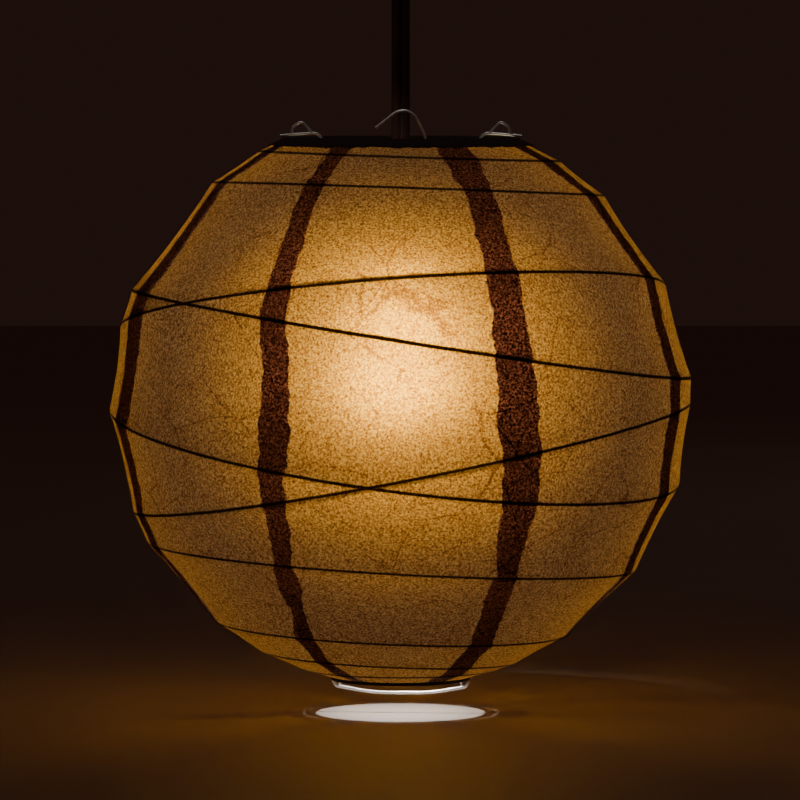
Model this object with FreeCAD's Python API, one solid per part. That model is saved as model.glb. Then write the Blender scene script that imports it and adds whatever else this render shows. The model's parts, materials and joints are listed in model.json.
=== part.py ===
"""Round hanging paper lantern with tilted bamboo ribs, a wire expander, a lampholder and a pendant cord.

Millimetres, +Z up. The origin is the centre of the ceiling bracket's top face.
"""
import FreeCAD, Part
import os
from math import atan, cos, hypot, radians, sin, sqrt

V = FreeCAD.Vector
UP = V(0, 0, 1)

# Shade: a body of revolution whose meridian is one arc, its centre a little off the axis.
RIM_DROP = 140.0            # ceiling to the shade's top edge
RIM_RISE = 182.0            # the shade's middle to its top edge
MIDDLE_Z = -RIM_DROP - RIM_RISE
MERIDIAN_X = 6.0            # how far the arc's centre is off the axis
MERIDIAN_R = 197.0          # outside of the outer paper layer
PAPER = 0.5
LAYER_STEP = 1.0            # outside of one paper layer to outside of the next
TOP_EDGE_R, BOTTOM_EDGE_R = 81.4, 47.9
GORES = 8
FIRST_SEAM = -68.0          # degrees round from the front, -Y, towards +X
OVERLAP = 6.6               # degrees that one gore laps over the next

# Ribs: height of the plane on the axis, its slope to the right, its slope to the front, wire radius and
# how far the rib lies under the outermost ones. Ribs that cross lie one inside the other.
THIN, THICK = 0.95, 1.3
UNDER = 2 * THICK + 1.9
RIBS = {
    "rib_1": (170.7, -0.033, 0.006, THIN, 0.0),
    "rib_2": (147.6, -0.034, 0.028, THIN, 0.0),
    "rib_3": (66.9, 0.075, 0.142, THICK, UNDER),
    "rib_4": (48.2, -0.157, 0.012, THICK, 0.0),
    "rib_5": (-31.7, -0.130, -0.092, THICK, 0.0),
    "rib_6": (-40.0, 0.195, -0.013, THICK, UNDER),
    "rib_7": (-108.4, -0.057, 0.011, THIN, 0.0),
    "rib_8": (-157.9, -0.041, -0.007, THIN, 0.0),
    "rib_9": (-178.0, -0.046, 0.005, THIN, 0.0),
    "rib_10": (-186.5, 0.000, 0.000, THIN, 0.0),
}
RIB_INSET = 2.5             # outside of the shade to the outside of the outermost ribs
TIE_GAP, TIE_R = 0.4, 0.35

# Hoops at the two openings
TOP_HOOP_R, TOP_HOOP_Z, TOP_HOOP_WIRE = 80.0, MIDDLE_Z + 179.1, 1.2
BOTTOM_HOOP_R, BOTTOM_HOOP_Z, BOTTOM_HOOP_WIRE = 45.5, MIDDLE_Z - 190.0, 1.0

# Expander
WIRE = 0.95
EXPANDER_TURN = -6.0        # degrees from +X to the right arm, so that it comes forward
EYE_R = 22.0
LEG_R, LEG_BEND_Z = 40.0, MIDDLE_Z - 191.0
ARM_END_R, ARM_END_RISE = 57.0, 4.6        # where an arm meets its rim hook, above the rim
HOOK_Y = -10.4              # the hanging hook stands this far in front of the cord
FOOT_R, FOOT_Z, FOOT_BOW, FOOT_WIRE = 45.2, MIDDLE_Z - 199.6, 4.4, 1.15

# Lampholder and bulb, measured down from the holder's top
HOLDER_TOP = -RIM_DROP - 54.0
CAP_H, HOLDER_H, HOLDER_R, HOLDER_WALL = 24.0, 62.0, 19.0, 2.5
SKIRT_TOP, SKIRT_H, SKIRT_R = 38.0, 12.0, 26.0
BULB_CAP_R, SHELL_GAP, SHELL_WALL = 13.0, 0.05, 0.7
BULB_CAP_TOP, BULB_CAP_H = 40.0, 24.0
GLOBE_R, GLOBE_DROP, GLASS = 30.0, 112.0, 0.8

# Cord and ceiling fitting
CORE_R, CORE_PITCH = 3.4, 6.2
CORD_TURN = 14.0            # degrees that the flat cord is turned from facing the front
GRIP_R, GRIP_IN, GRIP_OUT = 9.0, 6.0, 8.0       # a cord grip reaches into its cap and out of it
CUP_R, CUP_H, CUP_WALL = 35.0, 28.0, 1.5
BRACKET_R, BRACKET_T = 30.0, 2.0
MOUNT_HOLE_R, MOUNT_HALF = 2.2, 22.0
POST_R, POST_Y, SCREW_R = 3.2, 18.0, 1.5

NODES = {}


def keep(name, shape):
    NODES[name] = shape.removeSplitter() if len(shape.Solids) > 1 else shape


def turned(points, angle=360.0):
    """A closed outline of (radius, height) points turned about the axis."""
    corners = [V(r, 0, z) for r, z in points]
    face = Part.Face(Part.makePolygon(corners + corners[:1]))
    return face.revolve(V(0, 0, 0), UP, angle)


def tube(outer, inner, low, high):
    ring = Part.makeCylinder(outer, high - low, V(0, 0, low))
    return ring.cut(Part.makeCylinder(inner, high - low, V(0, 0, low))) if inner else ring


def path(points, radii):
    """Straight runs through the points, joined by tangent arcs of the given radii."""
    edges, start = [], points[0]
    for before, corner, after, radius in zip(points, points[1:], points[2:], radii):
        back, on = (before - corner).normalize(), (after - corner).normalize()
        half = back.getAngle(on) / 2
        cut = radius * cos(half) / sin(half)
        middle = (back + on).normalize() * (radius / sin(half) - radius)
        first, last = corner + back * cut, corner + on * cut
        edges += [Part.LineSegment(start, first).toShape(), Part.Arc(first, corner + middle, last).toShape()]
        start = last
    return Part.Wire(edges + [Part.LineSegment(start, points[-1]).toShape()])


def rod(points, radii, wire_r):
    spine = path(points, radii)
    section = Part.Wire(Part.makeCircle(wire_r, points[0], points[1] - points[0]))
    return spine.makePipeShell([section], True, False)


def radial(turn, r, z):
    """A point in the upright half-plane at the given turn from +X."""
    return V(r * cos(radians(turn)), r * sin(radians(turn)), z)


# ---- shade ----

def meridian_r(height, inset):
    """Radius of the meridian, moved inwards by inset, at a height above the shade's middle."""
    return MERIDIAN_X + sqrt((MERIDIAN_R - inset) ** 2 - height ** 2)


def meridian_arc(inset):
    """The meridian's top, middle and bottom points, moved inwards by inset."""
    rho = MERIDIAN_R - inset
    top, bottom = ((r - MERIDIAN_X) / MERIDIAN_R for r in (TOP_EDGE_R, BOTTOM_EDGE_R))
    return [
        V(MERIDIAN_X + rho * top, 0, MIDDLE_Z + rho * sqrt(1 - top ** 2)),
        V(MERIDIAN_X + rho, 0, MIDDLE_Z),
        V(MERIDIAN_X + rho * bottom, 0, MIDDLE_Z - rho * sqrt(1 - bottom ** 2)),
    ]


def gore(index):
    """One gore of paper. Even gores lie in the inner layer and odd ones over them."""
    inset = LAYER_STEP if index % 2 == 0 else 0.0
    outside, inside = meridian_arc(inset), meridian_arc(inset + PAPER)
    edges = [
        Part.Arc(*outside).toShape(),
        Part.LineSegment(outside[2], inside[2]).toShape(),
        Part.Arc(*inside[::-1]).toShape(),
        Part.LineSegment(inside[0], outside[0]).toShape(),
    ]
    span = 360.0 / GORES + OVERLAP
    sheet = Part.Face(Part.Wire(edges)).revolve(V(0, 0, 0), UP, span)
    sheet.rotate(V(0, 0, 0), UP, -90.0 + FIRST_SEAM + 360.0 / GORES * index - OVERLAP / 2)
    return sheet


def rib_circle(height, right, front, inset):
    """Centre, radius and hinge axis of the circle in which a tilted plane meets the shade."""
    slope = hypot(right, front)
    uphill = V(right, -front, 0) * (1 / slope) if slope else V(1, 0, 0)
    ends = []
    for way in (1, -1):
        r = meridian_r(height, inset)
        for _ in range(20):
            r = meridian_r(height + way * slope * r, inset)
        ends.append(uphill * (way * r) + UP * (MIDDLE_Z + height + way * slope * r))
    normal = V(-right, front, 1).normalize()
    return (ends[0] + ends[1]) * 0.5, (ends[0] - ends[1]).Length / 2, normal, UP.cross(uphill)


def shade():
    for index in range(GORES):
        keep(f"gore_{index + 1}", gore(index))
    for name, (height, right, front, wire_r, under) in RIBS.items():
        centre, radius, normal, axis = rib_circle(height, right, front, RIB_INSET + under + wire_r)
        keep(name, Part.makeTorus(radius, wire_r, centre, normal))
        if right or front:
            keep(f"{name}_tie", rib_tie(centre, radius, normal, axis, wire_r))
            print(name, "pivot", [round(x, 3) for x in centre], "axis", [round(x, 5) for x in axis],
                  "tilt", round(atan(hypot(right, front)), 5))
    keep("top_hoop", Part.makeTorus(TOP_HOOP_R, TOP_HOOP_WIRE, V(0, 0, TOP_HOOP_Z), UP))
    keep("bottom_hoop", Part.makeTorus(BOTTOM_HOOP_R, BOTTOM_HOOP_WIRE, V(0, 0, BOTTOM_HOOP_Z), UP))
    keep("top_collar", turned([
        (TOP_EDGE_R + 11.4, MIDDLE_Z + 177.6), (TOP_EDGE_R + 1.0, MIDDLE_Z + 182.6),
        (TOP_EDGE_R - 3.6, MIDDLE_Z + 182.6), (TOP_EDGE_R - 3.6, MIDDLE_Z + 183.4),
        (TOP_EDGE_R + 1.2, MIDDLE_Z + 183.4), (TOP_EDGE_R + 11.8, MIDDLE_Z + 178.3)]))
    keep("bottom_binding", turned([
        (BOTTOM_HOOP_R - 1.9, MIDDLE_Z - 190.0), (BOTTOM_HOOP_R - 1.2, MIDDLE_Z - 190.0),
        (BOTTOM_HOOP_R - 1.2, MIDDLE_Z - 193.6), (BOTTOM_EDGE_R + 0.6, MIDDLE_Z - 193.6),
        (BOTTOM_EDGE_R + 0.6, MIDDLE_Z - 194.4), (BOTTOM_HOOP_R - 1.9, MIDDLE_Z - 194.4)]))


def rib_tie(centre, radius, normal, axis, wire_r):
    """An open loop of thread round a rib, on its inner side, where the rib's hinge axis meets it."""
    place = centre + axis * radius
    loop_r = wire_r + TIE_GAP + TIE_R
    along = axis.cross(UP).normalize()
    start = V(0, 0, loop_r)
    section = Part.Face(Part.Wire(Part.makeCircle(TIE_R, start, V(0, 1, 0))))
    loop = section.revolve(V(0, 0, 0), V(1, 0, 0), 180.0)
    # The loop was turned about X on the -Y side; X goes to the rib's run and -Y to the inside.
    frame = FreeCAD.Matrix(along.x, axis.x, 0, place.x, along.y, axis.y, 0, place.y, 0, 0, 1, place.z)
    return loop.transformGeometry(frame)


# ---- expander ----

def arm_height(r):
    """Height of an arm's straight run at a distance from the axis."""
    eye_z = HOLDER_TOP - SKIRT_TOP + WIRE
    return eye_z + (r - EYE_R) / (ARM_END_R - EYE_R) * (ARM_END_RISE - RIM_DROP - eye_z)


def expander_arm(turn):
    """From the eye up to the rim and over the collar, with the bell-shaped loop that stands on it."""
    rim = -RIM_DROP
    arm = [(EYE_R, arm_height(EYE_R)), (ARM_END_R, arm_height(ARM_END_R)), (84.5, rim + 2.5)]
    bell = [(76.5, rim + 2.7), (75.5, rim + 8.5), (69.5, rim + 12.6), (61.8, rim + 4.1)]
    lower = rod([radial(turn, r, z) for r, z in arm], [6.0], WIRE)
    upper = rod([radial(turn, r, z) for r, z in bell], [3.0, 3.2], WIRE)
    return lower.fuse(upper)


def expander():
    rim = -RIM_DROP
    keep("expander_eye", Part.makeTorus(EYE_R, WIRE, V(0, 0, arm_height(EYE_R)), UP))
    for side, turn in (("right", EXPANDER_TURN), ("left", EXPANDER_TURN + 180.0)):
        keep(f"expander_arm_{side}", expander_arm(turn))
        route = [(LEG_R, arm_height(LEG_R)), (LEG_R, LEG_BEND_Z), (FOOT_R - 1.4, FOOT_Z - 0.2)]
        keep(f"expander_leg_{side}", rod([radial(turn, r, z) for r, z in route], [6.0], WIRE))
    # The bowed bar under the bottom opening, its ends turned up and out below the bottom hoop
    half = [(20.0, FOOT_Z - FOOT_BOW), (FOOT_R, FOOT_Z), (FOOT_R + 2.6, FOOT_Z + 3.6)]
    bar = [radial(EXPANDER_TURN + 180.0, r, z) for r, z in half[::-1]]
    bar += [radial(EXPANDER_TURN, r, z) for r, z in half]
    keep("expander_foot", rod(bar, [2.0, 120.0, 120.0, 2.0], FOOT_WIRE))
    root = radial(EXPANDER_TURN, 30.0, arm_height(30.0))
    hook = [root, V(17.6, -8.2, rim - 30.0), V(17.2, HOOK_Y, rim + 2.0), V(9.0, HOOK_Y, rim + 18.5),
            V(-1.0, HOOK_Y, rim + 21.0), V(-9.0, HOOK_Y, rim + 14.5), V(-17.5, HOOK_Y, rim + 8.0)]
    keep("hanging_hook", rod(hook, [40.0, 18.0, 12.0, 12.0, 26.0], WIRE))


# ---- lamp ----

def twin_section(low, high, grow=0.0):
    cores = [Part.makeCylinder(CORE_R + grow, high - low, V(way * CORE_PITCH / 2, 0, low)) for way in (1, -1)]
    pair = cores[0].fuse(cores[1])
    pair.rotate(V(0, 0, 0), UP, CORD_TURN)
    return pair


def glass_outline(inset):
    """Outside of the glass from neck to tip, moved inwards, as a solid."""
    centre, radius, neck = HOLDER_TOP - GLOBE_DROP, GLOBE_R - inset, BULB_CAP_R - 0.6 - inset
    neck_top, neck_end = HOLDER_TOP - 60.0 - 2 * inset, HOLDER_TOP - 68.0
    joint = V(radius * 0.85, 0, centre + radius * sqrt(1 - 0.85 ** 2))
    edges = [
        Part.LineSegment(V(0, 0, neck_top), V(neck, 0, neck_top)).toShape(),
        Part.LineSegment(V(neck, 0, neck_top), V(neck, 0, neck_end)).toShape(),
        Part.Arc(V(neck, 0, neck_end), V(17.0 - inset, 0, HOLDER_TOP - 83.0), joint).toShape(),
        Part.Arc(joint, V(radius * cos(-0.5), 0, centre + radius * sin(-0.5)), V(0, 0, centre - radius)).toShape(),
        Part.LineSegment(V(0, 0, centre - radius), V(0, 0, neck_top)).toShape(),
    ]
    return Part.Face(Part.Wire(edges)).revolve(V(0, 0, 0), UP, 360.0)


def lampholder():
    top, wall = HOLDER_TOP, HOLDER_WALL
    keep("holder_cap", turned([
        (GRIP_R, top), (HOLDER_R - 6.0, top), (HOLDER_R, top - 8.0), (HOLDER_R, top - CAP_H),
        (HOLDER_R - wall, top - CAP_H), (HOLDER_R - wall, top - 9.0), (HOLDER_R - 7.0, top - wall),
        (GRIP_R, top - wall)]))
    keep("holder_body", tube(HOLDER_R, HOLDER_R - wall, top - HOLDER_H, top - CAP_H))
    keep("terminal_block", tube(HOLDER_R - wall - 0.1, 2.0, top - 36.0, top - 26.0))
    keep("centre_contact", tube(4.0, 0, top - 37.0, top - 36.0))
    shell_r = BULB_CAP_R + SHELL_GAP
    keep("screw_shell", tube(shell_r + SHELL_WALL, shell_r, top - HOLDER_H + 0.5, top - 36.0))
    keep("skirt_ring", tube(SKIRT_R, HOLDER_R, top - SKIRT_TOP - SKIRT_H, top - SKIRT_TOP))
    grip = tube(GRIP_R, 0, top - GRIP_IN, top + GRIP_OUT)
    keep("holder_cord_grip", grip.cut(twin_section(top - GRIP_IN, top + GRIP_OUT)))


def bulb():
    top, end = HOLDER_TOP - BULB_CAP_TOP, HOLDER_TOP - BULB_CAP_TOP - BULB_CAP_H
    keep("bulb_tip", tube(3.0, 0, top + 1.8, top + 2.6))
    keep("bulb_insulator", tube(9.0, 0, top, top + 1.8))
    keep("bulb_cap", turned([
        (0, top), (9.0, top), (BULB_CAP_R, top - 3.0), (BULB_CAP_R, end), (BULB_CAP_R - 0.5, end),
        (BULB_CAP_R - 0.5, top - 3.3), (8.8, top - 0.5), (0, top - 0.5)]))
    keep("bulb_glass", glass_outline(0.0).cut(glass_outline(GLASS)))
    stem_top, stem_end = HOLDER_TOP - 62.0, HOLDER_TOP - 88.0
    keep("bulb_stem", turned([
        (0, stem_top), (7.0, stem_top), (3.0, stem_top - 8.0), (2.4, stem_end), (0, stem_end)]))
    lead = [(1.4, stem_end), (1.4, stem_end - 3.0), (10.0, stem_end - 17.0)]
    leads = [rod([radial(turn, r, z) for r, z in lead], [2.0], 0.35) for turn in (0.0, 180.0)]
    keep("bulb_lead_wires", leads[0].fuse(leads[1]))
    ends = [radial(turn, 10.0, stem_end - 17.7) for turn in (0.0, 180.0)]
    keep("bulb_filament", rod([ends[0], V(0, 0, stem_end - 22.0), ends[1]], [12.0], 0.35))


def ceiling_fitting():
    bracket = tube(BRACKET_R, 0, -BRACKET_T, 0)
    posts, screws = [], []
    screw_head = 1.4
    for way in (1, -1):
        hole = Part.makeCylinder(MOUNT_HOLE_R, BRACKET_T, V(way * MOUNT_HALF, 0, -BRACKET_T))
        bracket = bracket.cut(hole)
        post_end = -CUP_H + CUP_WALL
        post = Part.makeCylinder(POST_R, -BRACKET_T - post_end, V(0, way * POST_Y, post_end))
        shank_top = post_end + 8.0
        shank = Part.makeCylinder(SCREW_R, shank_top + CUP_H, V(0, way * POST_Y, -CUP_H))
        head = Part.makeCylinder(2 * SCREW_R, screw_head, V(0, way * POST_Y, -CUP_H - screw_head))
        posts.append(post.cut(shank))
        screws.append(shank.fuse(head))
    keep("ceiling_bracket", bracket.fuse(posts).removeSplitter())
    keep("cup_screws", Part.makeCompound(screws))
    cup = turned([
        (CUP_R, 0), (CUP_R, -6.0), (CUP_R - 9.0, -CUP_H), (GRIP_R, -CUP_H), (GRIP_R, -CUP_H + CUP_WALL),
        (CUP_R - 10.0, -CUP_H + CUP_WALL), (CUP_R - CUP_WALL, -6.4), (CUP_R - CUP_WALL, 0)])
    for way in (1, -1):
        cup = cup.cut(Part.makeCylinder(SCREW_R, CUP_H, V(0, way * POST_Y, -CUP_H)))
    keep("ceiling_cup", cup)
    low, high = -CUP_H - 6.0, -CUP_H + 8.0
    keep("ceiling_cord_grip", tube(GRIP_R, 0, low, high).cut(twin_section(low, high)))
    keep("pendant_cord", twin_section(HOLDER_TOP - GRIP_IN, high))


shade()
expander()
lampholder()
bulb()
ceiling_fitting()

os.makedirs("parts", exist_ok=True)
for name, shape in NODES.items():
    if not shape.isValid():
        print("not valid:", name)
    shape.exportStep(f"parts/{name}.step")
print(len(NODES), "nodes")
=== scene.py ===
"""A lit round paper lantern: kraft paper gores over tilted bamboo hoops, on a bright wire expander.

Metres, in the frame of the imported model. -Y is the front.
"""
import json
from math import cos, pi, radians, sin

import bpy
import numpy as np
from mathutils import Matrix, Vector, noise


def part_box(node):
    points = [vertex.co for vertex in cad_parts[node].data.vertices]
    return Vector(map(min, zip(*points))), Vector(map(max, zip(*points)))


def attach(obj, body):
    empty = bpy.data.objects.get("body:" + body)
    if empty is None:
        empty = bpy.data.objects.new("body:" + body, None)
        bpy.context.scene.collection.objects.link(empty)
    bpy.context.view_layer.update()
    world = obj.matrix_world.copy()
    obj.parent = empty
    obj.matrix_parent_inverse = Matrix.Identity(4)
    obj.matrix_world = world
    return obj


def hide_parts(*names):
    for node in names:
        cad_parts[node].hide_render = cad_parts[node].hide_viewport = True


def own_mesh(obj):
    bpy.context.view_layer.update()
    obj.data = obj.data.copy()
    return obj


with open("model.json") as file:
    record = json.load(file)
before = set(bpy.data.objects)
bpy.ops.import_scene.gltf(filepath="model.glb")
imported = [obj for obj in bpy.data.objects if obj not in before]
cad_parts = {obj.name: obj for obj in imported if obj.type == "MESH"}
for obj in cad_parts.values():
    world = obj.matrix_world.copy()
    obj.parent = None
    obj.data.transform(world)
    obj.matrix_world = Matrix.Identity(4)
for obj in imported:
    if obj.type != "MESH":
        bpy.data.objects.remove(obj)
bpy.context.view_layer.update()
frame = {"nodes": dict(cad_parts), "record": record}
MM = 0.001

# ---- sizes, from the frame where it holds them ----

SHADE_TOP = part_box("gore_2")[1].z
MIDDLE_Z = SHADE_TOP - 182.0 * MM
MERIDIAN_X, MERIDIAN_R = 6.0 * MM, 197.0 * MM      # the shade's meridian is an arc about (X, 0)
PAPER_TOP, PAPER_BOTTOM = 181.6 * MM, -192.0 * MM   # above the shade's middle
LAYER = 0.9 * MM                                   # between the inner and the outer layer of gores
SEAM_TURNS = (-73.0, -26.5, 23.5, 70.0, 114.0, 158.0, 202.0, 245.0)   # from the front towards +X
SEAM_WIDTHS = tuple(w * MM for w in (27.0, 20.0, 27.5, 23.0, 24.0, 20.0, 25.0, 22.0))
GORES = len(SEAM_TURNS)
CROSSED = {"rib_3": "rib_4", "rib_6": "rib_5"}      # the first lies inside the second
FLOOR_Z = MIDDLE_Z - 218.0 * MM


def meridian_r(height):
    """The shade's radius at a height above its middle, before its straight runs from rib to rib."""
    return MERIDIAN_X + np.sqrt(np.maximum(MERIDIAN_R ** 2 - np.asarray(height) ** 2, 1e-9))


def smooth_step(x):
    x = np.clip(x, 0.0, 1.0)
    return x * x * (3 - 2 * x)


def fractal(points, scale, seed, octaves=3):
    """Smooth noise from -1 to 1 at each of the points."""
    shift = Vector((seed * 7.31, seed * 3.17, seed * 1.93))
    return np.array([noise.fractal(Vector(p) * scale + shift, 1.0, 2.0, octaves) for p in points])


class Hoop:
    """A rib as the frame has it: centre, radius, wire radius and the slopes of its plane."""

    def __init__(self, node):
        co = np.array([v.co for v in frame["nodes"][node].data.vertices], float)
        self.centre = (co.max(0) + co.min(0)) / 2
        _, _, rows = np.linalg.svd(co - co.mean(0), full_matrices=False)
        self.normal = rows[2] * np.sign(rows[2][2])
        flat = np.linalg.norm(co - self.centre, axis=1)
        self.radius = (flat.max() + flat.min()) / 2
        self.wire = (flat.max() - flat.min()) / 2
        self.right = -self.normal[0] / self.normal[2]
        self.back = -self.normal[1] / self.normal[2]
        self.height = self.centre[2] - self.right * self.centre[0] - self.back * self.centre[1] - MIDDLE_Z

    def height_at(self, turn):
        """Height above the shade's middle where the rib meets the shade, at a turn from the front."""
        across, along = np.sin(turn), -np.cos(turn)
        h = np.full(np.shape(turn), self.height)
        for _ in range(12):
            r = meridian_r(h)
            h = self.height + r * (self.right * across + self.back * along)
        return h


RIBS = {f"rib_{i}": Hoop(f"rib_{i}") for i in range(1, 11)}


# ---- camera, lights and stage ----

def camera():
    distance, look_down, lens = 4.1, radians(3.3), 265.0
    aim = Vector((-0.5 * MM, 0.0, MIDDLE_Z + 0.6 * MM))
    data = bpy.data.cameras.new("front_camera")
    data.lens, data.sensor_width, data.clip_end = lens, 36.0, 40.0
    eye = bpy.data.objects.new("front_camera", data)
    eye.location = aim + Vector((0.0, -distance * cos(look_down), distance * sin(look_down)))
    eye.rotation_euler = (aim - eye.location).to_track_quat("-Z", "Y").to_euler()
    bpy.context.scene.collection.objects.link(eye)
    bpy.context.scene.camera = eye


def aimed_lamp(name, data, place, target_z):
    """Puts a lamp in the scene, pointing at the axis at a height."""
    lamp = bpy.data.objects.new(name, data)
    lamp.location = place
    lamp.rotation_euler = (Vector((0, 0, target_z)) - Vector(place)).to_track_quat("-Z", "Y").to_euler()
    bpy.context.scene.collection.objects.link(lamp)


def area_light(name, place, size, power, colour):
    data = bpy.data.lights.new(name, "AREA")
    data.shape, data.size, data.energy, data.color = "DISK", size, power, colour
    aimed_lamp(name, data, place, MIDDLE_Z)


def spot_light(name, place, target_z, power, colour, size, angle, blend):
    data = bpy.data.lights.new(name, "SPOT")
    data.energy, data.color, data.shadow_soft_size = power, colour, size
    data.spot_size, data.spot_blend = radians(angle), blend
    aimed_lamp(name, data, place, target_z)


def lights():
    world = bpy.data.worlds.new("studio")
    world.use_nodes = True
    world.node_tree.nodes["Background"].inputs["Color"].default_value = (1.0, 0.46, 0.38, 1.0)
    world.node_tree.nodes["Background"].inputs["Strength"].default_value = 0.017
    bpy.context.scene.world = world
    area_light("soft_key", (-1.6, -2.0, 1.2), 1.6, 1.0, (1.0, 0.80, 0.70))
    area_light("soft_back", (1.5, 2.2, 0.8), 1.6, 0.6, (1.0, 0.80, 0.70))
    # the bulb's light that falls through the bottom opening, and a small light on the wire at the rim
    spot_light("beam_down", (0.0, 0.0, MIDDLE_Z - 127.0 * MM), FLOOR_Z, power=0.66, colour=(1.0, 0.97, 0.98),
               size=0.002, angle=74.0, blend=0.1)
    spot_light("rim_light", (-0.15, -0.45, 1.6), SHADE_TOP + 18.0 * MM, power=26.0, colour=(1.0, 0.95, 0.9),
               size=0.10, angle=6.8, blend=0.3)


# ---- meshes ----

def new_piece(name, verts, faces, material):
    mesh = bpy.data.meshes.new(name)
    mesh.from_pydata([tuple(map(float, v)) for v in verts], [], [tuple(map(int, f)) for f in faces])
    mesh.materials.append(material)
    mesh.polygons.foreach_set("use_smooth", [True] * len(mesh.polygons))
    mesh.update()
    piece = bpy.data.objects.new(name, mesh)
    bpy.context.scene.collection.objects.link(piece)
    return piece


def grid_faces(rows, columns, closed=False):
    """Faces of a grid of points laid out row by row, joined round if it is closed."""
    faces = []
    for upper in range(0, (rows - 1) * columns, columns):
        lower = upper + columns
        for c in range(columns if closed else columns - 1):
            beside = (c + 1) % columns
            faces.append((upper + c, upper + beside, lower + beside, lower + c))
    return faces


# ---- materials ----

def tree_of(name):
    material = bpy.data.materials.new(name)
    material.use_nodes = True
    nodes = material.node_tree.nodes
    nodes.clear()
    return material, nodes, material.node_tree.links


def node(nodes, kind, values=(), **settings):
    made = nodes.new(kind)
    for key, value in settings.items():
        setattr(made, key, value)
    for socket, value in dict(values).items():
        made.inputs[socket].default_value = value
    return made


def ramp(nodes, links, source, stops):
    made = nodes.new("ShaderNodeValToRGB")
    made.color_ramp.elements[0].position, made.color_ramp.elements[0].color = stops[0]
    made.color_ramp.elements[-1].position, made.color_ramp.elements[-1].color = stops[-1]
    for place, colour in stops[1:-1]:
        made.color_ramp.elements.new(place).color = colour
    links.new(source, made.inputs["Fac"])
    return made.outputs["Color"]


def three_tone(nodes, links, source, dark, middle, light):
    return ramp(nodes, links, source, [(0.0, (*dark, 1)), (0.5, (*middle, 1)), (1.0, (*light, 1))])


def grey(value):
    return (value, value, value, 1.0)


def fibre_group():
    """Speckle of beaten bark, longer loose fibres and crease lines, as masks from 0 to 1, and a height."""
    group = bpy.data.node_groups.new("paper_fibre", "ShaderNodeTree")
    face = group.interface
    for name, value in (("Speckle Scale", 680.0), ("Fibre Scale", 70.0), ("Crease Scale", 22.0)):
        face.new_socket(name, in_out="INPUT", socket_type="NodeSocketFloat").default_value = value
    face.new_socket("Place", in_out="INPUT", socket_type="NodeSocketVector")
    for name in ("Speckle", "Fibres", "Creases", "Height"):
        face.new_socket(name, in_out="OUTPUT", socket_type="NodeSocketFloat")
    nodes, links = group.nodes, group.links
    inlet, outlet = nodes.new("NodeGroupInput"), nodes.new("NodeGroupOutput")
    place = inlet.outputs["Place"]

    speckle = node(nodes, "ShaderNodeTexNoise", {"Detail": 3.0, "Roughness": 0.72, "Distortion": 0.35})
    links.new(place, speckle.inputs["Vector"])
    links.new(inlet.outputs["Speckle Scale"], speckle.inputs["Scale"])
    spread = node(nodes, "ShaderNodeMapRange", {"From Min": 0.37, "From Max": 0.63})
    links.new(speckle.outputs["Fac"], spread.inputs["Value"])

    warp = node(nodes, "ShaderNodeTexNoise", {"Scale": 26.0, "Detail": 2.0})
    links.new(place, warp.inputs["Vector"])
    bent = node(nodes, "ShaderNodeVectorMath", operation="MULTIPLY_ADD")
    bent.inputs[1].default_value = (0.012, 0.012, 0.012)
    links.new(warp.outputs["Color"], bent.inputs[0])
    links.new(place, bent.inputs[2])
    strand = node(nodes, "ShaderNodeTexNoise", {"Detail": 2.0, "Roughness": 0.6, "Distortion": 1.6})
    links.new(bent.outputs["Vector"], strand.inputs["Vector"])
    links.new(inlet.outputs["Fibre Scale"], strand.inputs["Scale"])
    away = node(nodes, "ShaderNodeMath", operation="SUBTRACT")
    away.inputs[1].default_value = 0.5
    links.new(strand.outputs["Fac"], away.inputs[0])
    near = node(nodes, "ShaderNodeMath", operation="ABSOLUTE")
    links.new(away.outputs["Value"], near.inputs[0])
    fine = node(nodes, "ShaderNodeMapRange", {"From Max": 0.03, "To Min": 1.0, "To Max": 0.0})
    links.new(near.outputs["Value"], fine.inputs["Value"])

    fold = node(nodes, "ShaderNodeTexVoronoi", {"Detail": 1.0}, feature="DISTANCE_TO_EDGE")
    links.new(bent.outputs["Vector"], fold.inputs["Vector"])
    links.new(inlet.outputs["Crease Scale"], fold.inputs["Scale"])
    line = node(nodes, "ShaderNodeMapRange", {"From Max": 0.015, "To Min": 1.0, "To Max": 0.0})
    links.new(fold.outputs["Distance"], line.inputs["Value"])
    patch = node(nodes, "ShaderNodeTexNoise", {"Scale": 14.0, "Detail": 2.0})
    links.new(place, patch.inputs["Vector"])
    some = node(nodes, "ShaderNodeMapRange", {"From Min": 0.45, "From Max": 0.58})
    links.new(patch.outputs["Fac"], some.inputs["Value"])
    creases = node(nodes, "ShaderNodeMath", operation="MULTIPLY")
    links.new(line.outputs["Result"], creases.inputs[0])
    links.new(some.outputs["Result"], creases.inputs[1])

    rise = node(nodes, "ShaderNodeMath", operation="MULTIPLY_ADD")
    rise.inputs[1].default_value = 0.45
    links.new(fine.outputs["Result"], rise.inputs[0])
    links.new(spread.outputs["Result"], rise.inputs[2])
    for source, target in ((spread, "Speckle"), (fine, "Fibres"), (creases, "Creases"), (rise, "Height")):
        links.new(source.outputs[0], outlet.inputs[target])
    return group


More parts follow.
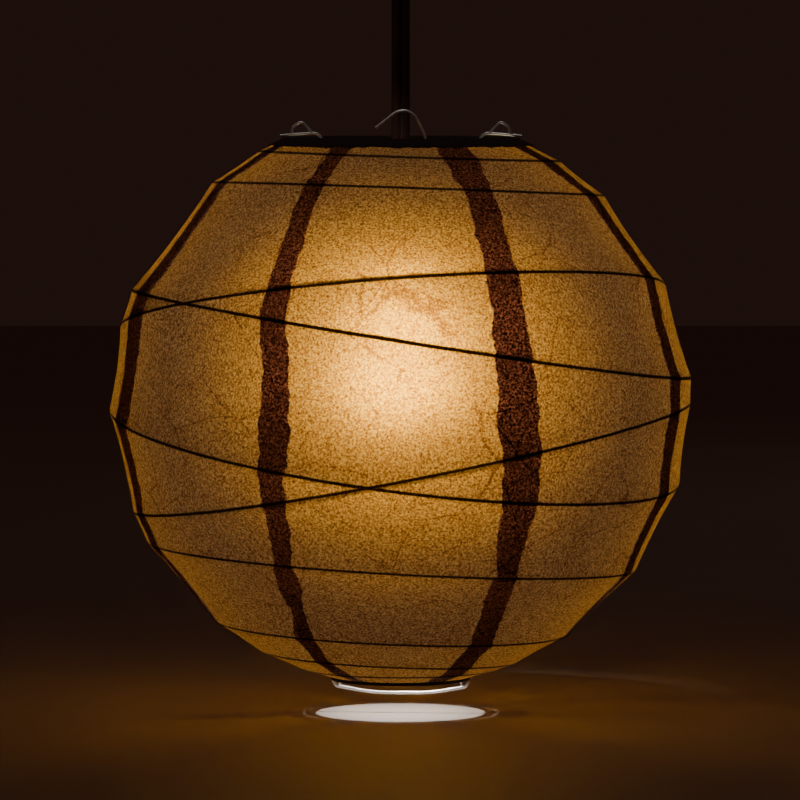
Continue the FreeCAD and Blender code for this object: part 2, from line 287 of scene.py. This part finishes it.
def painted_rib_shadows(nodes, links, place):
    """Mask of the painted shadows that the hoops cast on the paper, along the lines where it is glued to
    them, from the hoops' own planes.
    """
    total = None
    for rib in RIBS.values():
        height = node(nodes, "ShaderNodeVectorMath", operation="DOT_PRODUCT")
        height.inputs[1].default_value = tuple(rib.normal)
        links.new(place, height.inputs[0])
        away = node(nodes, "ShaderNodeMath", operation="SUBTRACT")
        away.inputs[1].default_value = float(rib.normal @ rib.centre)
        links.new(height.outputs["Value"], away.inputs[0])
        size = node(nodes, "ShaderNodeMath", operation="ABSOLUTE")
        links.new(away.outputs["Value"], size.inputs[0])
        reach = {"From Min": rib.wire * 0.50, "From Max": rib.wire * 1.10, "To Min": 1.0, "To Max": 0.0}
        line = node(nodes, "ShaderNodeMapRange", reach, interpolation_type="SMOOTHSTEP")
        links.new(size.outputs["Value"], line.inputs["Value"])
        if total is None:
            total = line.outputs["Result"]
            continue
        most = node(nodes, "ShaderNodeMath", operation="MAXIMUM")
        links.new(total, most.inputs[0])
        links.new(line.outputs["Result"], most.inputs[1])
        total = most.outputs["Value"]
    return total


def blend_colour(nodes, links, factor, first, second):
    mixed = nodes.new("ShaderNodeMix")
    mixed.data_type = "RGBA"
    links.new(factor, mixed.inputs["Factor"])
    links.new(first, mixed.inputs["A"])
    if isinstance(second, tuple):
        mixed.inputs["B"].default_value = second
    else:
        links.new(second, mixed.inputs["B"])
    return mixed.outputs["Result"]


PAINTED_RIB_SHADOW = (0.012, 0.004, 0.003, 1)      # painted shadow: the paper's colour where a hoop lies behind it and blocks the bulb's light


def paper_material(fibre):
    """Kraft mulberry paper that glows where the bulb shines through it, dark where two layers are glued, with
    painted hoop shadows and painted crease shade.
    """
    material, nodes, links = tree_of("kraft_paper")
    place = node(nodes, "ShaderNodeAttribute", attribute_name="rest_place").outputs["Vector"]
    lap = node(nodes, "ShaderNodeAttribute", attribute_name="lap").outputs["Fac"]
    fibres = node(nodes, "ShaderNodeGroup", node_tree=fibre)
    links.new(place, fibres.inputs["Place"])
    shade = node(nodes, "ShaderNodeMath", operation="MULTIPLY_ADD", use_clamp=True)
    shade.inputs[1].default_value = -0.10
    links.new(fibres.outputs["Fibres"], shade.inputs[0])
    links.new(fibres.outputs["Speckle"], shade.inputs[2])
    # darker along the crease lines: painted shade of the creases, laid over the paper's speckle and fibres
    tone_and_crease_shade = node(nodes, "ShaderNodeMath", operation="MULTIPLY_ADD", use_clamp=True)
    tone_and_crease_shade.inputs[1].default_value = -0.44
    links.new(fibres.outputs["Creases"], tone_and_crease_shade.inputs[0])
    links.new(shade.outputs["Value"], tone_and_crease_shade.inputs[2])
    tone_and_crease_shade = tone_and_crease_shade.outputs["Value"]
    # painted shadows of the hoops, laid only on the light that comes through the paper
    lines = painted_rib_shadows(nodes, links, place)
    bare = three_tone(nodes, links, tone_and_crease_shade, (0.14, 0.06, 0.02), (0.36, 0.19, 0.07), (0.58, 0.36, 0.16))
    glued = ramp(nodes, links, tone_and_crease_shade, [(0.0, (0.06, 0.022, 0.014, 1)), (1.0, (0.26, 0.12, 0.06, 1))])
    face = blend_colour(nodes, links, lap, bare, glued)
    clear = three_tone(nodes, links, tone_and_crease_shade, (0.20, 0.080, 0.018), (0.66, 0.29, 0.030), (1.0, 0.59, 0.075))
    veil = three_tone(nodes, links, tone_and_crease_shade, (0.22, 0.085, 0.03), (0.70, 0.41, 0.24), (1.0, 0.74, 0.60))
    double = three_tone(nodes, links, tone_and_crease_shade, (0.03, 0.012, 0.008), (0.20, 0.105, 0.088), (0.66, 0.38, 0.28))
    deep = three_tone(nodes, links, tone_and_crease_shade, (0.28, 0.12, 0.010), (0.72, 0.31, 0.004), (1.0, 0.64, 0.010))
    hot = blend_colour(nodes, links, lap, deep, double)
    hot = blend_colour(nodes, links, lines, hot, PAINTED_RIB_SHADOW)
    through = blend_colour(nodes, links, lap, clear, double)
    through = blend_colour(nodes, links, lines, through, PAINTED_RIB_SHADOW)
    soft = blend_colour(nodes, links, lap, veil, double)
    soft = blend_colour(nodes, links, lines, soft, PAINTED_RIB_SHADOW)
    bump = node(nodes, "ShaderNodeBump", {"Strength": 0.5, "Distance": 0.0004})
    links.new(fibres.outputs["Height"], bump.inputs["Height"])
    front = node(nodes, "ShaderNodeBsdfPrincipled", {"Roughness": 0.92, "Specular IOR Level": 0.12})
    links.new(face, front.inputs["Base Color"])
    links.new(bump.outputs["Normal"], front.inputs["Normal"])
    back = nodes.new("ShaderNodeBsdfTranslucent")
    links.new(soft, back.inputs["Color"])
    wide = node(nodes, "ShaderNodeBsdfRefraction", {"Roughness": 0.86, "IOR": 1.75})
    links.new(through, wide.inputs["Color"])
    narrow = node(nodes, "ShaderNodeBsdfRefraction", {"Roughness": 0.62, "IOR": 1.32})
    links.new(hot, narrow.inputs["Color"])
    ahead = node(nodes, "ShaderNodeMixShader", {"Fac": 0.37})
    links.new(wide.outputs["BSDF"], ahead.inputs[1])
    links.new(narrow.outputs["BSDF"], ahead.inputs[2])
    light = node(nodes, "ShaderNodeMixShader", {"Fac": 0.76})
    links.new(back.outputs["BSDF"], light.inputs[1])
    links.new(ahead.outputs["Shader"], light.inputs[2])
    both = node(nodes, "ShaderNodeMixShader", {"Fac": 0.75})
    links.new(front.outputs["BSDF"], both.inputs[1])
    links.new(light.outputs["Shader"], both.inputs[2])
    links.new(both.outputs["Shader"], nodes.new("ShaderNodeOutputMaterial").inputs["Surface"])
    return material


def solid_material(name, colours, roughness, metallic=0.0, scale=60.0, bump=0.2, depth=0.0002,
                   stretch=(1, 1, 1), values=()):
    """A plain finish with uneven colour, gloss and surface. colours and roughness are (low, high)."""
    material, nodes, links = tree_of(name)
    place = nodes.new("ShaderNodeTexCoord")
    grain = node(nodes, "ShaderNodeMapping")
    grain.inputs["Scale"].default_value = stretch
    links.new(place.outputs["Object"], grain.inputs["Vector"])
    uneven = node(nodes, "ShaderNodeTexNoise", {"Scale": scale, "Detail": 5.0, "Roughness": 0.6})
    links.new(grain.outputs["Vector"], uneven.inputs["Vector"])
    shader = node(nodes, "ShaderNodeBsdfPrincipled", {"Metallic": metallic, **dict(values)})
    tint = ramp(nodes, links, uneven.outputs["Fac"], [(0.3, (*colours[0], 1)), (0.7, (*colours[1], 1))])
    links.new(tint, shader.inputs["Base Color"])
    gloss = ramp(nodes, links, uneven.outputs["Fac"], [(0.3, grey(roughness[0])), (0.7, grey(roughness[1]))])
    links.new(gloss, shader.inputs["Roughness"])
    lift = node(nodes, "ShaderNodeBump", {"Strength": bump, "Distance": depth})
    links.new(uneven.outputs["Fac"], lift.inputs["Height"])
    links.new(lift.outputs["Normal"], shader.inputs["Normal"])
    links.new(shader.outputs["BSDF"], nodes.new("ShaderNodeOutputMaterial").inputs["Surface"])
    return material


def tape_material(fibre):
    material, nodes, links = tree_of("dark_paper_tape")
    fibres = node(nodes, "ShaderNodeGroup", node_tree=fibre)
    links.new(nodes.new("ShaderNodeTexCoord").outputs["Object"], fibres.inputs["Place"])
    shader = node(nodes, "ShaderNodeBsdfPrincipled", {"Roughness": 0.85, "Specular IOR Level": 0.2})
    tones = [(0.0, (0.016, 0.010, 0.009, 1)), (1.0, (0.060, 0.036, 0.030, 1))]
    links.new(ramp(nodes, links, fibres.outputs["Speckle"], tones), shader.inputs["Base Color"])
    bump = node(nodes, "ShaderNodeBump", {"Strength": 0.6, "Distance": 0.0005})
    links.new(fibres.outputs["Height"], bump.inputs["Height"])
    links.new(bump.outputs["Normal"], shader.inputs["Normal"])
    links.new(shader.outputs["BSDF"], nodes.new("ShaderNodeOutputMaterial").inputs["Surface"])
    return material


def make_materials():
    fibre = fibre_group()
    made = {"kraft_paper": paper_material(fibre), "dark_paper_tape": tape_material(fibre)}
    # colours, roughness, metallic, scale of the unevenness, bump, its depth, and the grain's stretch
    plain = {
        "bamboo_rib": (((0.035, 0.016, 0.008), (0.085, 0.042, 0.02)), (0.55, 0.75), 0.0, 40.0,
                       0.5, 0.0003, (1, 1, 6)),
        "binding_thread": (((0.05, 0.025, 0.015), (0.12, 0.07, 0.04)), (0.8, 0.95), 0.0, 900.0),
        "hoop_wire": (((0.10, 0.09, 0.085), (0.26, 0.24, 0.22)), (0.35, 0.6), 0.9, 300.0),
        "bright_wire": (((0.66, 0.66, 0.67), (0.88, 0.88, 0.89)), (0.34, 0.46), 0.75, 420.0, 0.05, 0.0001),
        "black_phenolic": (((0.010, 0.010, 0.011), (0.028, 0.026, 0.025)), (0.28, 0.45), 0.0, 160.0),
        "cup_plastic": (((0.018, 0.015, 0.014), (0.04, 0.034, 0.03)), (0.35, 0.5), 0.0, 160.0),
        "zinc_plate": (((0.45, 0.46, 0.50), (0.70, 0.70, 0.68)), (0.3, 0.5), 1.0, 120.0),
        "zinc_screw": (((0.50, 0.50, 0.52), (0.72, 0.72, 0.70)), (0.25, 0.4), 1.0, 240.0),
        "ceramic": (((0.70, 0.68, 0.62), (0.86, 0.84, 0.80)), (0.3, 0.5), 0.0, 90.0),
        "brass": (((0.60, 0.42, 0.16), (0.83, 0.64, 0.30)), (0.22, 0.4), 1.0, 140.0),
        "nickel_brass": (((0.58, 0.55, 0.50), (0.78, 0.76, 0.72)), (0.2, 0.35), 1.0, 140.0),
        "black_glass": (((0.006, 0.006, 0.007), (0.016, 0.014, 0.018)), (0.08, 0.16), 0.0, 120.0),
        "lead_wire": (((0.45, 0.42, 0.38), (0.66, 0.62, 0.58)), (0.25, 0.4), 1.0, 300.0),
        "cord_pvc": (((0.100, 0.055, 0.048), (0.180, 0.100, 0.085)), (0.42, 0.6), 0.0, 120.0,
                     0.3, 0.0002, (1, 1, 0.2)),
    }
    for name, settings in plain.items():
        made[name] = solid_material(name, *settings)
    glow = (("Emission Color", (1.0, 0.84, 0.51, 1.0)), ("Emission Strength", 21.0))
    made["frosted_glass"] = solid_material("frosted_glass", ((0.86, 0.84, 0.80), (0.95, 0.93, 0.90)),
                                           (0.35, 0.5), 0.0, 200.0, 0.1, 0.0001, (1, 1, 1), glow)
    hot = (("Emission Color", (1.0, 0.6, 0.25, 1.0)), ("Emission Strength", 40.0))
    made["tungsten"] = solid_material("tungsten", ((0.3, 0.28, 0.26), (0.5, 0.48, 0.46)),
                                      (0.3, 0.5), 1.0, 200.0, 0.1, 0.0001, (1, 1, 1), hot)
    made["clear_glass"] = solid_material("clear_glass", ((0.9, 0.93, 0.92), (0.97, 0.98, 0.98)),
                                         (0.03, 0.08), 0.0, 80.0, 0.05, 0.0001, (1, 1, 1), (("IOR", 1.5),))
    return made


# ---- shade ----

def seam_turn(index, height):
    """Turn of a seam's middle, in radians from the front. The seams fan out a little towards the bottom."""
    turn = radians(SEAM_TURNS[index % GORES]) + (2 * pi if index >= GORES else 0.0)
    low = np.clip((-height - 80 * MM) / (110 * MM), 0, 1) ** 2
    high = np.clip((height - 130 * MM) / (50 * MM), 0, 1)
    wander = radians(1.0) * np.sin(height / (47 * MM) + 1.7 * index)
    return turn + sin(turn) * (radians(16.0) * low - radians(4.0) * high) + wander


def seam_taper(height):
    """How wide a lap is, as a share of its width at the middle."""
    return 1 - 0.16 * smooth_step(height / (170 * MM)) - 0.34 * smooth_step(-height / (170 * MM))


def shade_r(turn, height):
    """The paper's radius: straight runs from rib to rib, drawn in a little between them."""
    names = list(RIBS)
    heights = np.stack([RIBS[n].height_at(turn) for n in names], -1)
    insets = np.full(heights.shape, 0.5 * MM)
    for inner, outer in CROSSED.items():
        gap = np.abs(heights[..., names.index(inner)] - heights[..., names.index(outer)])
        insets[..., names.index(inner)] += 0.8 * MM * smooth_step(gap / (30 * MM))
    ends = np.broadcast_to([PAPER_TOP, PAPER_BOTTOM], heights.shape[:-1] + (2,))
    heights = np.concatenate([heights, ends], -1)
    radii = meridian_r(heights) - np.concatenate([insets, np.full(ends.shape, 0.4 * MM)], -1)
    order = np.argsort(heights, -1)
    heights, radii = np.take_along_axis(heights, order, -1), np.take_along_axis(radii, order, -1)
    below = np.clip((heights <= height[..., None]).sum(-1) - 1, 0, heights.shape[-1] - 2)[..., None]
    h0, h1 = (np.take_along_axis(heights, below + k, -1)[..., 0] for k in (0, 1))
    r0, r1 = (np.take_along_axis(radii, below + k, -1)[..., 0] for k in (0, 1))
    run = np.maximum(np.hypot(h1 - h0, r1 - r0), 1e-6)
    t = np.clip((height - h0) / np.maximum(h1 - h0, 1e-6), 0, 1)
    return r0 + (r1 - r0) * t - 0.022 * run * 4 * t * (1 - t)


def ragged(height, seed):
    """How far a torn edge stands out from its line."""
    points = [(0.0, 0.0, h) for h in height]
    tears, fringe = fractal(points, 1 / (17 * MM), seed, 2), fractal(points, 1 / (4.5 * MM), seed + 40, 3)
    return 2.7 * MM * tears + 1.3 * MM * fringe


def seam_edges(index, height):
    """Turns of both torn edges of the lap at a seam: the left edge seen from outside, then the other."""
    r = meridian_r(height)
    seam = index % GORES
    width = SEAM_WIDTHS[seam] * (1 + 0.10 * np.sin(height / (38 * MM) + seam)) * seam_taper(height)
    middle = seam_turn(index, height)
    return [middle + way * (width / 2 + ragged(height, 3 * seam + way)) / r for way in (-1, 1)]


def gore(index, material):
    """One gore, with columns of its mesh along both edges of each lap."""
    rows, lap_columns, columns = 300, 9, 44
    low, high = np.arcsin(PAPER_BOTTOM / MERIDIAN_R), np.arcsin(PAPER_TOP / MERIDIAN_R)
    height = MERIDIAN_R * np.sin(np.linspace(high, low, rows))
    r = meridian_r(height)
    (start, start_lap), (end_lap, end) = seam_edges(index, height), seam_edges(index + 1, height)
    fade = 0.5 * MM / r
    share_lap, share = np.linspace(0, 1, lap_columns), np.linspace(0, 1, columns)
    turn = np.concatenate([
        start[:, None] + (start_lap - fade - start)[:, None] * share_lap,
        (start_lap + fade)[:, None] + (end_lap - start_lap - 2 * fade)[:, None] * share,
        (end_lap + fade)[:, None] + (end - end_lap - fade)[:, None] * share_lap], 1)
    lap = np.concatenate([np.ones(lap_columns), np.zeros(columns), np.ones(lap_columns)])
    columns = turn.shape[1]
    grid_h = np.repeat(height[:, None], columns, 1)
    radius = shade_r(turn, grid_h)
    from_edge = np.minimum(turn - start[:, None], end[:, None] - turn) * r[:, None]
    over = 1 if index % 2 else -1
    radius += over * LAYER / 2 * np.exp(-(from_edge / (24 * MM)) ** 2)
    place = np.stack([radius * np.sin(turn), -radius * np.cos(turn), grid_h + MIDDLE_Z], -1).reshape(-1, 3)
    outward = place / np.linalg.norm(place * [1, 1, 0], axis=1)[:, None] * [1, 1, 0]
    near_seam = np.exp(-(from_edge.reshape(-1) / (30 * MM)) ** 2)
    soft = fractal(place, 1 / (34 * MM), 5, 2)
    crumple = fractal(place * [1, 1, 1.6], 1 / (9 * MM), 9, 2)
    place += outward * ((0.35 * soft + (0.08 + 0.20 * near_seam) * crumple) * MM)[:, None]
    piece = new_piece(f"paper_gore_{index + 1}", place, grid_faces(rows, columns), material)
    piece.data.flip_normals()
    rest = piece.data.attributes.new("rest_place", "FLOAT_VECTOR", "POINT")
    rest.data.foreach_set("vector", place.astype(np.float32).ravel())
    mask = piece.data.attributes.new("lap", "FLOAT", "POINT")
    mask.data.foreach_set("value", np.tile(lap, rows).astype(np.float32))
    area = sum(p.area for p in piece.data.polygons)
    return piece, area


def shade(materials):
    for index in range(GORES):
        piece, area = gore(index, materials["kraft_paper"])
        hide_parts(f"gore_{index + 1}")
        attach(piece, "frame")
        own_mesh(piece)


def collar(materials):
    """The dark paper bound over the top hoop, with a torn lower edge."""
    turns = np.linspace(0, 2 * pi, 480, endpoint=False)
    loop = [(sin(t) * 0.08, cos(t) * 0.08, 0.0) for t in turns]
    torn = 0.9 * MM * fractal(loop, 1 / (14 * MM), 3, 3) + 0.5 * MM * fractal(loop, 1 / (3 * MM), 8, 2)
    rim_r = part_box("top_hoop")[1].x
    profile = []
    for t, edge in zip(turns, torn):
        end = 177.6 * MM + edge
        under = [(rim_r - 1.6 * MM, 176.9 * MM), (rim_r - 3.4 * MM, 179.2 * MM),
                 (rim_r - 2.6 * MM, 182.2 * MM)]
        over = [(rim_r - 0.6 * MM, 183.2 * MM), (rim_r + 0.9 * MM, 182.9 * MM)]
        fall = [(float(meridian_r(h)) + 0.9 * MM, h) for h in np.linspace(181.6 * MM, end, 6)]
        profile.append(under + over + fall)
    verts = [(r * sin(t), -r * cos(t), z + MIDDLE_Z) for k in range(len(profile[0]))
             for t, (r, z) in zip(turns, [p[k] for p in profile])]
    faces = grid_faces(len(profile[0]), len(turns), True)
    piece = new_piece("rim_collar", verts, faces, materials["dark_paper_tape"])
    piece.data.flip_normals()
    thick = piece.modifiers.new("thickness", "SOLIDIFY")
    thick.thickness, thick.offset = 0.35 * MM, 1.0
    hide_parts("top_collar")
    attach(piece, "frame")


# ---- ribs ----

def bamboo_tree():
    """A hoop of split bamboo in the XY plane, uneven in run and thickness, with swellings at its joints."""
    group = bpy.data.node_groups.new("bamboo_hoop", "GeometryNodeTree")
    face = group.interface
    face.new_socket("Geometry", in_out="INPUT", socket_type="NodeSocketGeometry")
    for name in ("Hoop Radius", "Bamboo Radius", "Wobble", "Unevenness", "Seed"):
        face.new_socket(name, in_out="INPUT", socket_type="NodeSocketFloat")
    face.new_socket("Finish", in_out="INPUT", socket_type="NodeSocketMaterial")
    face.new_socket("Geometry", in_out="OUTPUT", socket_type="NodeSocketGeometry")
    nodes, links = group.nodes, group.links
    inlet, outlet = nodes.new("NodeGroupInput"), nodes.new("NodeGroupOutput")
    hoop = node(nodes, "GeometryNodeCurvePrimitiveCircle", {"Resolution": 320})
    links.new(inlet.outputs["Hoop Radius"], hoop.inputs["Radius"])
    place = nodes.new("GeometryNodeInputPosition")
    drift = node(nodes, "ShaderNodeTexNoise", {"Scale": 16.0, "Detail": 2.0}, noise_dimensions="4D")
    links.new(place.outputs["Position"], drift.inputs["Vector"])
    links.new(inlet.outputs["Seed"], drift.inputs["W"])
    centred = node(nodes, "ShaderNodeVectorMath", operation="SUBTRACT")
    centred.inputs[1].default_value = (0.5, 0.5, 0.5)
    links.new(drift.outputs["Color"], centred.inputs[0])
    offset = node(nodes, "ShaderNodeVectorMath", operation="SCALE")
    links.new(centred.outputs["Vector"], offset.inputs[0])
    links.new(inlet.outputs["Wobble"], offset.inputs["Scale"])
    moved = nodes.new("GeometryNodeSetPosition")
    links.new(hoop.outputs["Curve"], moved.inputs["Geometry"])
    links.new(offset.outputs["Vector"], moved.inputs["Offset"])
    swell = node(nodes, "ShaderNodeTexNoise", {"Scale": 60.0, "Detail": 3.0}, noise_dimensions="4D")
    links.new(place.outputs["Position"], swell.inputs["Vector"])
    links.new(inlet.outputs["Seed"], swell.inputs["W"])
    uneven = node(nodes, "ShaderNodeMath", operation="MULTIPLY_ADD")
    links.new(swell.outputs["Fac"], uneven.inputs[0])
    links.new(inlet.outputs["Unevenness"], uneven.inputs[1])
    uneven.inputs[2].default_value = 0.9
    sized = nodes.new("GeometryNodeSetCurveRadius")
    links.new(moved.outputs["Geometry"], sized.inputs["Curve"])
    links.new(uneven.outputs["Value"], sized.inputs["Radius"])
    section = node(nodes, "GeometryNodeCurvePrimitiveCircle", {"Resolution": 9})
    links.new(inlet.outputs["Bamboo Radius"], section.inputs["Radius"])
    swept = nodes.new("GeometryNodeCurveToMesh")
    links.new(sized.outputs["Curve"], swept.inputs["Curve"])
    links.new(section.outputs["Curve"], swept.inputs["Profile Curve"])
    links.new(uneven.outputs["Value"], swept.inputs["Scale"])
    real = nodes.new("GeometryNodeRealizeInstances")
    links.new(swept.outputs["Mesh"], real.inputs["Geometry"])
    finish = nodes.new("GeometryNodeSetMaterial")
    links.new(real.outputs["Geometry"], finish.inputs["Geometry"])
    links.new(inlet.outputs["Finish"], finish.inputs["Material"])
    links.new(finish.outputs["Geometry"], outlet.inputs["Geometry"])
    return group


def from_nodes(name, group, values):
    """A plain mesh piece from a node tree with these inputs."""
    carrier = bpy.data.objects.new(name + "_carrier", bpy.data.meshes.new(name + "_carrier"))
    bpy.context.scene.collection.objects.link(carrier)
    modifier = carrier.modifiers.new("make", "NODES")
    modifier.node_group = group
    names = {s.name: s.identifier for s in group.interface.items_tree if s.in_out == "INPUT"}
    for key, value in values.items():
        modifier[names[key]] = value
    seen = carrier.evaluated_get(bpy.context.evaluated_depsgraph_get())
    mesh = bpy.data.meshes.new_from_object(seen)
    mesh.name = name
    bpy.data.objects.remove(carrier)
    piece = bpy.data.objects.new(name, mesh)
    bpy.context.scene.collection.objects.link(piece)
    return piece


def ribs(materials):
    tree = bamboo_tree()
    for number, (name, rib) in enumerate(RIBS.items()):
        piece = from_nodes(f"bamboo_{name}", tree, {
            "Hoop Radius": rib.radius, "Bamboo Radius": rib.wire * 0.98, "Wobble": 3.0 * MM,
            "Unevenness": 0.22, "Seed": 2.7 * number, "Finish": materials["bamboo_rib"]})
        turn = Vector((0, 0, 1)).rotation_difference(Vector(rib.normal)).to_matrix().to_4x4()
        turn.translation = Vector(rib.centre)
        piece.data.transform(turn)
        piece.data.polygons.foreach_set("use_smooth", [True] * len(piece.data.polygons))
        piece.visible_shadow = False     # the hoops cast no shadow; the paper carries a painted shadow line for each hoop instead
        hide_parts(name)
        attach(piece, name)


# ---- cord ----

def cord(materials):
    """The flat twin cord, pulled straight, from the holder's grip to the ceiling cup."""
    low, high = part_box("pendant_cord")[0].z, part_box("pendant_cord")[1].z
    core_r, pitch, turn, steps = 3.35 * MM, 6.2 * MM, radians(14.0), 14
    meet = np.arccos(pitch / 2 / core_r)
    outline = []
    for way in (0.0, pi):
        for a in np.linspace(-(pi - meet), pi - meet, steps):
            x = pitch / 2 * cos(way) + core_r * cos(a + way)
            y = core_r * sin(a + way)
            outline.append((x * cos(turn) - y * sin(turn), x * sin(turn) + y * cos(turn)))
    levels = np.linspace(low, high, 60)
    count = len(outline)
    verts = [(x, y, z) for z in levels for x, y in outline]
    faces = grid_faces(len(levels), count, True)
    faces += [tuple(range(count))[::-1], tuple(range(len(verts) - count, len(verts)))]
    piece = new_piece("twin_cord", verts, faces, materials["cord_pvc"])
    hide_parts("pendant_cord")
    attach(piece, "frame")


def dress_nodes(materials):
    """Every node that stays as it is gets the finish of its slot."""
    slots = {s["node"]: s["material_slot"] for s in frame["record"]["subparts"]}
    for name, piece in frame["nodes"].items():
        piece.data.materials.clear()
        piece.data.materials.append(materials[slots[name]])
        piece.data.polygons.foreach_set("material_index", [0] * len(piece.data.polygons))


def floor():
    side = 6.0
    corners = [(-side, -side, FLOOR_Z), (side, -side, FLOOR_Z), (side, side, FLOOR_Z), (-side, side, FLOOR_Z)]
    pale = ((0.52, 0.44, 0.37), (0.58, 0.50, 0.42))
    material = solid_material("pale_floor", pale, (0.5, 0.6), scale=6.0, bump=0.0)
    new_piece("floor", corners, [(0, 1, 2, 3)], material)


camera()
materials = make_materials()
cord(materials)
lights()
floor()
dress_nodes(materials)
shade(materials)
collar(materials)
ribs(materials)
